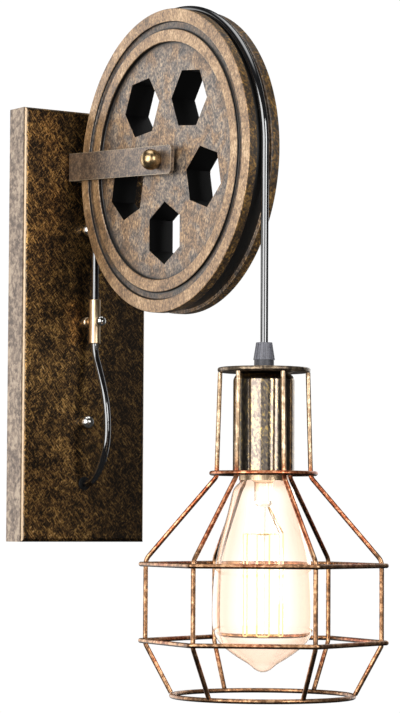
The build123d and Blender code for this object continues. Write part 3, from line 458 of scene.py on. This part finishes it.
def wheel_face(tree, place, gritty, depth, radius_share):
    """Tan rings with rubbed edges, a web that is cool or warm in patches, and painted shade beside the rings.
    """
    worn = clouded(tree, gritty, grain(tree, place, across_mm=26.0, along_mm=26.0), share=0.50)
    rings = add(tree, "ShaderNodeValToRGB", {"Fac": worn}, stops=[
        (0.28, "#54402c"), (0.43, "#866747"), (0.57, "#ab875f"), (0.74, "#d2b28a")])
    cool = add(tree, "ShaderNodeValToRGB", {"Fac": gritty}, stops=[
        (0.34, "#332d2a"), (0.45, "#635850"), (0.56, "#8c7b6a"), (0.70, "#c0a688")])
    warm = add(tree, "ShaderNodeValToRGB", {"Fac": gritty}, stops=[
        (0.32, "#3f2f21"), (0.45, "#735940"), (0.57, "#9c7a56"), (0.72, "#cba97e")])
    patches = grain(tree, place, across_mm=14.0, along_mm=14.0, detail=4.0)
    patches = add(tree, "ShaderNodeMapRange", {
        "Value": patches, "From Min": 0.42, "From Max": 0.60}, **SMOOTH)
    web = layered(tree, cool.outputs["Color"], (patches.outputs["Result"], warm.outputs["Color"]))
    on_web = add(tree, "ShaderNodeMapRange", {
        "Value": depth, "From Min": RINGS_END, "From Max": WEB_STARTS}, **SMOOTH)
    face = layered(
        tree, rings.outputs["Color"], (rubbed_edges(tree, width_mm=0.5), linear("#e2c79c")),
        (on_web.outputs["Result"], web))
    # Painted shade in the corners beside the rings, multiplied over the paint
    corner_shade = add(tree, "ShaderNodeValToRGB", {"Fac": radius_share}, stops=RING_SHADE).outputs["Color"]
    return add(tree, "ShaderNodeMix", {0: 1.0, 6: face, 7: corner_shade}, blend_type="MULTIPLY", **COLOURS).outputs[2]


def wheel_paint():
    """Antique bronze paint on a cast wheel: gritty tan and brown faces, black in windows and groove."""
    material, tree, shader = finish_of("antique_bronze_on_casting", {
        "Coat Weight": 0.75, "Coat Roughness": 0.42})
    coords = add(tree, "ShaderNodeTexCoord")
    place = coords.outputs["Object"]
    depth = distance_from(tree, place, axle_place, (1.0, 0.0, 0.0))
    radius = distance_from(tree, place, axle_place, (0.0, 1.0, 1.0))
    radius_share = add(tree, "ShaderNodeMath", {0: radius, 1: wheel_r}, operation="DIVIDE").outputs["Value"]
    grit = grain(tree, place, across_mm=1.4, along_mm=2.2, slant=30, detail=4.0)
    gritty = clouded(tree, grit, grain(tree, place, across_mm=9.0, along_mm=9.0, detail=4.0), share=0.48)
    face = wheel_face(tree, place, gritty, depth, radius_share)
    tread = add(tree, "ShaderNodeValToRGB", {"Fac": gritty}, stops=[
        (0.38, "#1e150a"), (0.50, "#48341a"), (0.62, "#7e5c28"), (0.76, "#b48c4a")]).outputs["Color"]
    in_groove = add(tree, "ShaderNodeMapRange", {
        "Value": depth, "From Min": TREAD_ENDS, "From Max": GROOVE_STARTS}, **SMOOTH)
    tread = layered(tree, tread, (in_groove.outputs["Result"], linear("#0a0806")))
    on_tread = add(tree, "ShaderNodeMapRange", {
        "Value": radius, "From Min": WALLS_END, "From Max": TREAD_STARTS}, **SMOOTH).outputs["Result"]
    facing = add(tree, "ShaderNodeVectorMath", {0: coords.outputs["Normal"]}, operation="ABSOLUTE")
    facing = add(tree, "ShaderNodeSeparateXYZ", {0: facing.outputs["Vector"]}).outputs["X"]
    on_face = add(tree, "ShaderNodeMapRange", {
        "Value": facing, "From Min": 0.35, "From Max": 0.75}, **SMOOTH).outputs["Result"]
    colour = layered(tree, linear("#070606"), (on_tread, tread), (on_face, face))
    tree.links.new(colour, shader.inputs["Base Color"])
    painted = add(tree, "ShaderNodeMath", {0: on_face, 1: on_tread}, operation="MAXIMUM").outputs["Value"]
    relief(tree, shader, grit, depth_mm=0.15, roughness=(0.55, 0.40), painted=painted)
    # Bare walls are all metal, which keeps their black deep
    metal = add(tree, "ShaderNodeMapRange", {"Value": painted, "To Min": 1.0, "To Max": 0.35})
    tree.links.new(metal.outputs["Result"], shader.inputs["Metallic"])
    return material


def strap_paint():
    """Greyed bronze paint on bent strap: cool brown with warm mottling, rubbed light along its edges."""
    material, tree, shader = finish_of("greyed_bronze_on_strap", {
        "Metallic": 0.6, "Coat Weight": 1.0, "Coat Roughness": 0.4})
    place = add(tree, "ShaderNodeTexCoord").outputs["Object"]
    mottle = grain(tree, place, across_mm=1.6, along_mm=1.6)
    mottle = clouded(tree, mottle, grain(tree, place, across_mm=7.0, along_mm=7.0), share=0.7)
    paint = add(tree, "ShaderNodeValToRGB", {"Fac": mottle}, stops=list(zip(
        THREE_STEPS, ("#463d38", "#6b5a4d", "#967f68"))))
    colour = layered(tree, paint.outputs["Color"], (rubbed_edges(tree, width_mm=0.7), linear("#d8c6a6")))
    tree.links.new(colour, shader.inputs["Base Color"])
    relief(tree, shader, mottle, depth_mm=0.04, roughness=(0.45, 0.36))
    return material


# Wire tones: tan, copper red for painted bulb glow, pale for a painted highlight, and the disc's dull tone
WIRE_TAN = ("#664a34", "#946c4c", "#c49c76")
WIRE_BULB_GLOW = ("#7c4029", "#b46844", "#dea27a")
WIRE_HIGHLIGHT = ("#8a745c", "#b2977a", "#dac4a4")
DISC_DULL = ("#483e34", "#6c5e4e", "#98866e")


def wire_finish():
    """Antique copper on drawn wire: rubbed tan, painted shade beneath, painted bulb glow in copper red, and a
    painted highlight at the neck.
    """
    material, tree, shader = finish_of("antique_copper_on_wire", {"Metallic": 0.9})
    coords = add(tree, "ShaderNodeTexCoord")
    place = coords.outputs["Object"]
    mottle = grain(tree, place, across_mm=3.0, along_mm=3.0)
    mottle = clouded(tree, mottle, grain(tree, place, across_mm=16.0, along_mm=16.0), share=0.40)
    tan, copper, pale, dull_tone_and_shade = (
        add(tree, "ShaderNodeValToRGB", {"Fac": mottle}, stops=list(zip(THREE_STEPS, tones))).outputs["Color"]
        for tones in (WIRE_TAN, WIRE_BULB_GLOW, WIRE_HIGHLIGHT, DISC_DULL))
    radius = distance_from(tree, place, (lamp_x, lamp_y, 0.0), (1.0, 1.0, 0.0))
    height = add(tree, "ShaderNodeSeparateXYZ", {0: place}).outputs["Z"]
    zones = [
        (radius, bulb_glow_within), (height, bulb_glow_below), (height, bulb_glow_above), (height, highlight_above),
        (height, dull_above)]
    glow_near_axis, below_neck, above_tip, highlight_at_neck, on_disc = (
        add(tree, "ShaderNodeMapRange", {"Value": value, "From Min": start, "From Max": full}, **SMOOTH)
        for value, (start, full) in zones)
    # Painted glow of the lit bulb: copper red near the axis, between the bulb's tip and the neck
    warm = add(tree, "ShaderNodeMath", {
        0: glow_near_axis.outputs["Result"], 1: below_neck.outputs["Result"]}, operation="MULTIPLY")
    warm = add(tree, "ShaderNodeMath", {
        0: warm.outputs["Value"], 1: above_tip.outputs["Result"]}, operation="MULTIPLY")
    # Painted shade: wires darken where they face down
    facing = add(tree, "ShaderNodeSeparateXYZ", {0: coords.outputs["Normal"]}).outputs["Z"]
    shaded_underneath = add(tree, "ShaderNodeMapRange", {
        "Value": facing, "From Min": -0.05, "From Max": -0.6}, **SMOOTH)
    # Painted highlight: the wires above the neck are paler
    colour = layered(
        tree, tan, (warm.outputs["Value"], copper), (shaded_underneath.outputs["Result"], linear("#281a11")),
        (highlight_at_neck.outputs["Result"], pale), (on_disc.outputs["Result"], dull_tone_and_shade))
    tree.links.new(colour, shader.inputs["Base Color"])
    relief(tree, shader, mottle, depth_mm=0.02, roughness=(0.36, 0.28))
    return material


def cup_finish():
    """Polished antique bronze on a drawn cup: a dark mirror with gold flecks brushed through the lacquer."""
    material, tree, shader = finish_of("polished_antique_bronze", {"Metallic": 1.0})
    place = add(tree, "ShaderNodeTexCoord").outputs["Object"]
    flecks = grain(tree, place, across_mm=1.5, along_mm=3.0, slant=20)
    flecks = clouded(tree, flecks, grain(tree, place, across_mm=9.0, along_mm=14.0), share=0.3)
    colour = add(tree, "ShaderNodeValToRGB", {"Fac": flecks}, stops=[
        (0.36, "#675e58"), (0.54, "#867a6d"), (0.64, "#ae9870"), (0.76, "#dcba74")])
    tree.links.new(colour.outputs["Color"], shader.inputs["Base Color"])
    relief(tree, shader, flecks, depth_mm=0.012, roughness=(0.10, 0.22))
    return material


def plain_finish(name, values, tones, roughness, across_mm, along_mm, depth_mm):
    """One grain that takes the tone from dark to light, and the height and the gloss with it."""
    material, tree, shader = finish_of(name, values)
    place = add(tree, "ShaderNodeTexCoord").outputs["Object"]
    value = grain(tree, place, across_mm, along_mm)
    colour = add(tree, "ShaderNodeValToRGB", {"Fac": value}, stops=list(zip(TWO_STEPS, tones)))
    tree.links.new(colour.outputs["Color"], shader.inputs["Base Color"])
    relief(tree, shader, value, depth_mm, roughness)
    return material


def worked_metal(name, tones, roughness, across_mm, along_mm):
    """Plated, turned or drawn metal: grains of tone along its working, and a polish that follows them."""
    return plain_finish(name, {"Metallic": 1.0}, tones, roughness, across_mm, along_mm, depth_mm=0.01)


def moulded(name, tones, roughness, grain_mm, ior=1.5):
    """Moulded plastic, rubber, glaze or paint: a fine grain in tone, height and gloss."""
    return plain_finish(name, {"IOR": ior}, tones, roughness, grain_mm, grain_mm, depth_mm=0.02)


def blown_glass():
    """Blown soda-lime glass with a faint painted warm glow of the lit bulb: clear face on, peach where the
    wall is seen edgeways.
    """
    # A faint warm emission on the glass is painted glow of the lit bulb
    material, tree, shader = finish_of("blown_clear_glass", {
        "Roughness": 0.0, "IOR": 1.35, "Transmission Weight": 1.0,
        "Emission Color": linear("#ffdcbc"), "Emission Strength": 0.03})
    edgeways = add(tree, "ShaderNodeLayerWeight", {"Blend": 0.5}).outputs["Facing"]
    tint = add(tree, "ShaderNodeMapRange", {"Value": edgeways, "From Min": 0.06, "From Max": 0.36}, **SMOOTH)
    colour = layered(tree, linear("#fffefa"), (tint.outputs["Result"], linear("#ffecdd")))
    tree.links.new(colour, shader.inputs["Base Color"])
    return material


def glowing_wire():
    """A carbon-style filament at work: a steady yellow glow that hides the wire's own dark brown."""
    return finish_of("glowing_filament", {
        "Base Color": linear("#3a2a10"), "Roughness": 0.6,
        "Emission Color": linear("#ffdf96"), "Emission Strength": 1.25})[0]


finishes = {
    "plate": plate_lacquer(),
    "wheel": wheel_paint(),
    "yoke": strap_paint(),
    "cage": wire_finish(),
    "cup": cup_finish(),
    # Plain finishes: dark and light tone, roughness of each, grain in millimetres, and a moulded one's IOR.
    # Brass toned and lacquered: a dull gold with a soft gloss
    "antique_brass": worked_metal("antique_brass", ("#937a58", "#c8ab80"), (0.24, 0.34), 2.0, 2.0),
    # Brass brushed lengthways: pale gold in fine upright streaks
    "brushed_brass": worked_metal("brushed_brass", ("#b89c7c", "#e0c8a6"), (0.26, 0.38), 0.6, 6.0),
    # Nickel plate, polished: a bright mirror
    "nickel": worked_metal("bright_nickel", ("#c9c8c4", "#e4e3df"), (0.06, 0.12), 3.0, 3.0),
    # Zinc plate as it leaves the bath: a cool grey spangle, half glossy
    "zinc": worked_metal("zinc_plate", ("#93969a", "#bcbfc2"), (0.25, 0.42), 1.5, 1.5),
    # Soft solder, set from a drop: dull grey
    "solder": worked_metal("soft_solder", ("#8a8a87", "#b3b3af"), (0.35, 0.5), 2.0, 2.0),
    # Drawn wire browned by heat: streaked gold brown
    "support_wire": worked_metal("oxidised_wire", ("#8a6a3c", "#bf9a5e"), (0.3, 0.45), 0.8, 2.0),
    # Extruded PVC sheath: black with a wet gloss
    "pvc": moulded("glossy_black_pvc", ("#040405", "#0a0a0c"), (0.05, 0.10), 1.5, 2.2),
    # Moulded nylon: a silky surface, in two greys and in cream
    "grip": moulded("grey_nylon", ("#535358", "#6e6e76"), (0.42, 0.55), 0.8),
    "collar": moulded("dark_grey_nylon", ("#2f2f33", "#47474c"), (0.42, 0.55), 0.8),
    "cream": moulded("cream_nylon", ("#cfc8b4", "#e2dcc9"), (0.42, 0.55), 0.8),
    # Moulded rubber: matt black
    "rubber": moulded("black_rubber", ("#050505", "#0b0b0b"), (0.6, 0.75), 0.7, 1.3),
    # Glazed porcelain: off-white with a soft shine
    "porcelain": moulded("porcelain", ("#d8d2c4", "#e8e3d8"), (0.2, 0.35), 1.5),
    # Fused black glass: a black mirror
    "black_glass": moulded("black_glass", ("#050506", "#0b0b0d"), (0.05, 0.1), 2.0),
    "glass": blown_glass(),
    "filament": glowing_wire(),
}

# Which solids wear each finish
wearers = {
    "plate": ["backplate"],
    "wheel": ["pulley_wheel"],
    "yoke": ["yoke"],
    "cage": [name for name in nodes if name.startswith("cage_")],
    "cup": ["socket_cup"],
    "antique_brass": ["axle_ball_nuts"],
    "brushed_brass": [
        "clamp_post", "clamp_tube", "lampholder_shell", "lampholder_contact", "wheel_bush", "bulb_cap"],
    "nickel": ["plate_ball_nuts", "clamp_screw"],
    "zinc": [
        "wall_crossbar", "crossbar_studs", "stud_locknuts", "earth_screw", "yoke_screws", "yoke_nuts", "axle",
        "axle_spacers", "clamp_post_nut", "nipple_nut", "terminal_screws", "lampholder_screws"],
    "pvc": [
        "cord_tail", "cord_slack", "cord_rise", "cord_over_wheel", "cord_swivel", "cord_drop",
        "lamp_cord_tail"],
    "grip": ["cord_grip_nut", "cord_anchor"],
    "collar": ["cord_grip_body"],
    "rubber": ["cord_entry_bush", "cord_grip_collet"],
    "cream": ["terminal_block"],
    "porcelain": ["lampholder_cap", "lampholder_body"],
    "glass": ["bulb_glass", "bulb_stem"],
    "black_glass": ["bulb_insulator"],
    "solder": ["bulb_contact"],
    "support_wire": ["bulb_leads", "bulb_supports"],
    "filament": ["bulb_filament"],
}
for finish, names in wearers.items():
    for name in names:
        nodes[name].data.materials.clear()
        nodes[name].data.materials.append(finishes[finish])


def dress(piece, finish):
    """Gives a new piece its finish."""
    piece.data.materials.append(finishes[finish])
    return piece


# Cord

def cord_piece(name, line, side=ACROSS, radius=CORD_R):
    """A round cord or core along points of its line."""
    return dress(mesh_piece(name, tube_grid(line, side, radius), cap_ends=True), "pvc")


def hanging_cord(name, top_z, bottom_z):
    """A stretch of cord straight down the lamp's axis."""
    heights = (top_z, (top_z + bottom_z) / 2, bottom_z)
    return cord_piece(name, cord_line([(lamp_x, lamp_y, z) for z in heights]))


def cord_over_wheel():
    """Up the plate, round the wheel on a polygon whose sides touch the cord's circle, and down again."""
    corners = np.arange(WHEEL_STEP / 2, math.pi, WHEEL_STEP)
    reach = cord_wheel_r / math.cos(WHEEL_STEP / 2)
    over = [
        (0, axle_place.y + reach * math.cos(turn), axle_place.z + reach * math.sin(turn)) for turn in corners]
    rise = [(0, cord_rear_y, clamp_bottom_z), (0, cord_rear_y, axle_place.z - RISE_RUN)]
    fall = [(0, lamp_y, axle_place.z - DROP_RUN), (0, lamp_y, side_pivot_z + BEND_REACH)]
    upper = cord_piece("cord_up_and_over", cord_line(rise + over + fall))
    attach(upper, "wall_mount")
    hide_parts("cord_rise", "cord_over_wheel")


def cord_to_lamp():
    """Two short straight stretches of cord at the pivots below the wheel, and a drop down to the grip,
    carried by the fore link.
    """
    top_z = side_pivot_z + BEND_REACH
    between_z = (side_pivot_z + fore_pivot_z) / 2
    low_z = fore_pivot_z - BEND_REACH
    side_bend = hanging_cord("cord_side_bend", top_z, between_z)
    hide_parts("cord_swivel")
    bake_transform(side_bend)
    fore_bend = hanging_cord("cord_fore_bend", between_z, low_z)
    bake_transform(fore_bend)
    drop = hanging_cord("cord_down_to_lamp", low_z, grip_top_z)
    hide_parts("cord_drop")
    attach(drop, "cord_fore_link")
    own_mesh(drop)


def slack_loop():
    """The loose loop of cord between the clamp and the bush in the plate."""
    route = [(0.0, plate_front_y - off * MM, z * MM) for off, z in SLACK_ROUTE]
    line = cord_line(route)
    slack = cord_piece("cord_slack_loop", line)
    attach(slack, "wall_mount")
    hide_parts("cord_slack")


def cord_in_lamp():
    """The sheath's end inside the grip, and two cores from there to the lampholder's screws."""
    sheath_end_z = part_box("cord_grip_body")[0].z - SHEATH_BELOW_GRIP
    sheath = hanging_cord("cord_in_grip", grip_top_z - JOIN_GAP, sheath_end_z)
    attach(sheath, "lamp")
    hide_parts("lamp_cord_tail")
    core_end_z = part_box("lamp_cord_tail")[0].z + CORE_R
    for name, hand in (("cord_core_left", -1), ("cord_core_right", 1)):
        core_x = lamp_x + hand * CORE_OFF
        route = [(core_x, lamp_y, sheath_end_z + 2 * CORE_R), (core_x, lamp_y, sheath_end_z - 2 * CORE_R),
                 (lamp_x + hand * SCREW_OFF, lamp_y, core_end_z)]
        core = cord_piece(name, cord_line(route), CORE_SIDE, CORE_R)
        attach(core, "lamp")


def cord_in_plate():
    """The cord's tail inside the hollow plate, from the bush to the terminal block."""
    tail = cord_piece("cord_in_plate", cord_line(np.array(TAIL_ROUTE) * MM), TAIL_SIDE)
    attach(tail, "wall_mount")
    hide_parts("cord_tail")


cord_over_wheel()
cord_to_lamp()
slack_loop()
cord_in_lamp()
cord_in_plate()


# Bulb

def below_cap(outline):
    """Radii and distances below the cap's mouth in millimetres, as radii and heights in metres."""
    rows = np.array(outline) * MM
    rows[:, 1] = cap_mouth_z - rows[:, 1]
    return rows


def glass_profile(wall):
    """The glass from the neck to the tip on one smooth line, moved inwards by a wall square to the line."""
    line = smooth_line(below_cap(BULB_OUTLINE), GLASS_STEPS, NECK_SLOPE, TIP_SLOPE)
    along = np.gradient(line, axis=0)
    along /= np.linalg.norm(along, axis=1, keepdims=True)
    moved = line + wall * np.column_stack([along[:, 1], -along[:, 0]])
    moved[:, 0] = np.maximum(moved[:, 0], 0.0)
    moved[-1, 0] = 0.0
    return moved


def bulb_part(piece, node):
    """Dresses a piece of the bulb as glass that lets light pass, in place of a solid."""
    dress(piece, "glass")
    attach(piece, "bulb")
    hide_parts(node)
    piece.visible_shadow = False


def bulb_envelope():
    """The glass as one closed wall: outside from the neck's top down to the tip, and inside back up."""
    neck_top_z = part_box("bulb_glass")[1].z
    outer = glass_profile(0.0)
    inner = glass_profile(GLASS_WALL)[::-1]
    profile = np.vstack([(outer[0, 0], neck_top_z), outer, inner, (inner[-1, 0], neck_top_z)])
    bulb_part(mesh_piece("bulb_envelope", turned_grid(profile, GLASS_SIDES), wrap_along=True), "bulb_glass")


def bulb_mount():
    """The hollow glass mount in the bulb's neck, with the rod that carries the filament."""
    bulb_part(mesh_piece("bulb_mount", turned_grid(below_cap(MOUNT_OUTLINE), MOUNT_SIDES)), "bulb_stem")


bulb_envelope()
bulb_mount()


# Studio

def surroundings():
    """White to the eye and through glass. Light comes from a backdrop and overhead, little elsewhere."""
    world = bpy.data.worlds.new("studio")
    bpy.context.scene.world = world
    world.use_nodes = True
    tree = world.node_tree
    tree.nodes.clear()
    rays = add(tree, "ShaderNodeLightPath")
    direction = add(tree, "ShaderNodeTexCoord").outputs["Generated"]
    backwards = add(tree, "ShaderNodeVectorMath", {0: direction, 1: BACKDROP_SIDE}, operation="DOT_PRODUCT")
    backdrop = add(tree, "ShaderNodeMapRange", {
        "Value": backwards.outputs["Value"], "From Min": BACKDROP_EDGE, "From Max": BACKDROP_FULL,
        "To Min": ROOM_LEVEL, "To Max": BACKDROP_LEVEL}, **SMOOTH)
    upwards = add(tree, "ShaderNodeSeparateXYZ", {0: direction}).outputs["Z"]
    overhead = add(tree, "ShaderNodeMapRange", {
        "Value": upwards, "From Min": OVERHEAD_EDGE, "From Max": OVERHEAD_FULL,
        "To Max": OVERHEAD_LEVEL}, **SMOOTH)
    lit = add(tree, "ShaderNodeMath", {
        0: backdrop.outputs["Result"], 1: overhead.outputs["Result"]}, operation="ADD").outputs["Value"]
    through = add(tree, "ShaderNodeMix", {0: rays.outputs["Is Transmission Ray"], 2: lit, 3: GLASS_LEVEL})
    level = add(tree, "ShaderNodeMix", {
        0: rays.outputs["Is Camera Ray"], 2: through.outputs[0], 3: SEEN_LEVEL})
    white = add(tree, "ShaderNodeBackground", {"Color": linear("#ffffff"), "Strength": level.outputs[0]})
    add(tree, "ShaderNodeOutputWorld", {"Surface": white.outputs["Background"]})


def softbox(name, bearing, rise, distance, width, height, power):
    """A soft light aimed at the part: bearing from the front to the right and rise, both in degrees.

    Its distance, width and height are in metres, and its power is in watts.
    """
    around = math.radians(bearing)
    up = math.radians(rise)
    towards = Vector((math.sin(around) * math.cos(up), -math.cos(around) * math.cos(up), math.sin(up)))
    light = bpy.data.lights.new(name, "AREA")
    light.shape = "RECTANGLE"
    light.size = width
    light.size_y = height
    light.energy = power
    holder = bpy.data.objects.new(name, light)
    holder.location = Vector(STUDIO_AIM) + towards * distance
    holder.rotation_euler = towards.to_track_quat("Z", "Y").to_euler()
    bpy.context.scene.collection.objects.link(holder)


def studio_floor():
    """A round pale floor, (r cos t, r sin t) at one height, that stays out of reflections."""
    turn = np.linspace(0, 2 * math.pi, FLOOR_SIDES, endpoint=False)
    heights = np.full(FLOOR_SIDES, -FLOOR_DROP)
    rim = np.stack([FLOOR_RADIUS * np.cos(turn), FLOOR_RADIUS * np.sin(turn), heights], axis=-1)
    mesh = bpy.data.meshes.new("floor")
    mesh.from_pydata(rim.tolist(), [], [list(range(FLOOR_SIDES))])
    mesh.materials.append(moulded("pale_floor", ("#ecece9", "#f1f1ee"), (0.7, 0.9), 40.0))
    floor = bpy.data.objects.new("floor", mesh)
    bpy.context.scene.collection.objects.link(floor)
    floor.visible_glossy = False


def viewpoint():
    """The camera at the photograph's place: its right, up and back directions are its turn's columns."""
    yaw, pitch, roll = (math.radians(angle) for angle in (CAMERA_YAW, CAMERA_PITCH, CAMERA_ROLL))
    right = Vector((math.cos(yaw), math.sin(yaw), 0))
    forward = Vector((-math.sin(yaw) * math.cos(pitch), math.cos(yaw) * math.cos(pitch), math.sin(pitch)))
    up = right.cross(forward)
    rolled_right = math.cos(roll) * right + math.sin(roll) * up
    rolled_up = -math.sin(roll) * right + math.cos(roll) * up
    turn = Matrix((rolled_right, rolled_up, -forward)).transposed()
    data = bpy.data.cameras.new("camera")
    data.sensor_width = SENSOR_MM
    data.lens = FOCAL_PIXELS / LONG_SIDE_PIXELS * SENSOR_MM
    camera = bpy.data.objects.new("camera", data)
    camera.matrix_world = Matrix.Translation(CAMERA_PLACE) @ turn.to_4x4()
    bpy.context.scene.collection.objects.link(camera)
    bpy.context.scene.camera = camera


surroundings()
softbox("softbox_left", bearing=-67.5, rise=8.0, distance=1.6, width=1.35, height=1.6, power=34.0)
softbox("softbox_front", bearing=3.0, rise=12.0, distance=1.8, width=0.8, height=1.0, power=18.0)
softbox("softbox_fill", bearing=-30.0, rise=2.0, distance=2.4, width=0.9, height=1.2, power=3.2)
softbox("softbox_right", bearing=118.0, rise=8.0, distance=3.0, width=2.2, height=2.4, power=22.0)
studio_floor()
viewpoint()
bpy.context.scene.view_settings.view_transform = "Standard"
